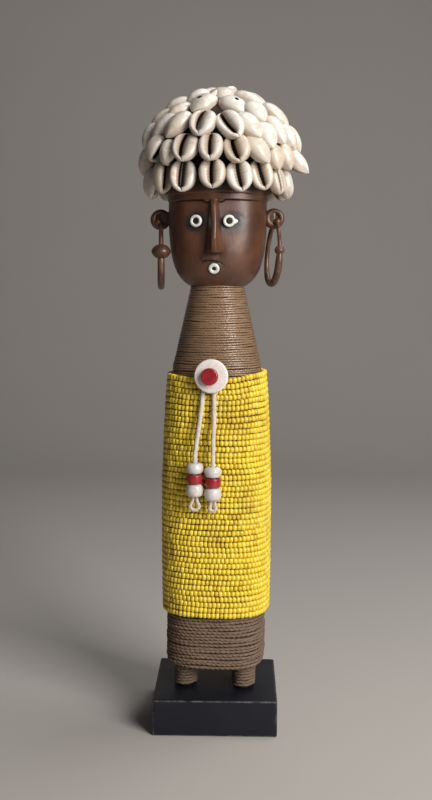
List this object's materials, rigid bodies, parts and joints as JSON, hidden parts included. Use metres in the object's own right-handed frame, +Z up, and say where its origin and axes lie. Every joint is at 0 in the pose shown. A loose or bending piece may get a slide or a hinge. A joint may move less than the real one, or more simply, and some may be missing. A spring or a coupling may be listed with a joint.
{
  "type": "namji doll",
  "caption": "Carved standing doll on a square plinth, with a shell wig, hoop earrings, a twine-wound body, a beaded skirt and two beaded pendants.",
  "frame": {"origin": "centre of the plinth's underside", "axes": "+Z up, -Y the way the plinth's front looks, +X to a viewer's right"},
  "size_m": [0.1007, 0.0995, 0.4121],
  "materials": {
    "black_paint": "satin blue-black paint",
    "twine": "wound brown twine, rubbed on the neck",
    "yellow_beads": "opaque glossy seed beads",
    "dark_wood": "polished dark reddish brown",
    "hoop_wood": "polished dark brown",
    "cowrie": "glossy shell",
    "white_bead": "glossy",
    "pupil": "dark",
    "white_disc": "matte, finely speckled",
    "red_bead": "satin red",
    "cord": "off-white cord"
  },
  "bodies": {
    "root": {"plinth": "black_paint", "wound_body": "twine", "bead_skirt": "yellow_beads", "head": "dark_wood", "eye_ring_left": "white_bead", "eye_ring_right": "white_bead", "eye_pupil_left": "pupil", "eye_pupil_right": "pupil", "mouth_ring": "white_bead", "earring_left": "hoop_wood", "earring_right": "hoop_wood", "shell_wig": "cowrie", "breast_disc": "white_disc", "breast_button": "red_bead", "cord_left": "cord", "cord_right": "cord", "cord_loop_left": "cord", "cord_loop_right": "cord", "pendant_left_top": "white_bead", "pendant_left_middle": "red_bead", "pendant_left_bottom": "white_bead", "pendant_right_top": "white_bead", "pendant_right_middle": "red_bead", "pendant_right_bottom": "white_bead"}
  },
  "joints": []
}
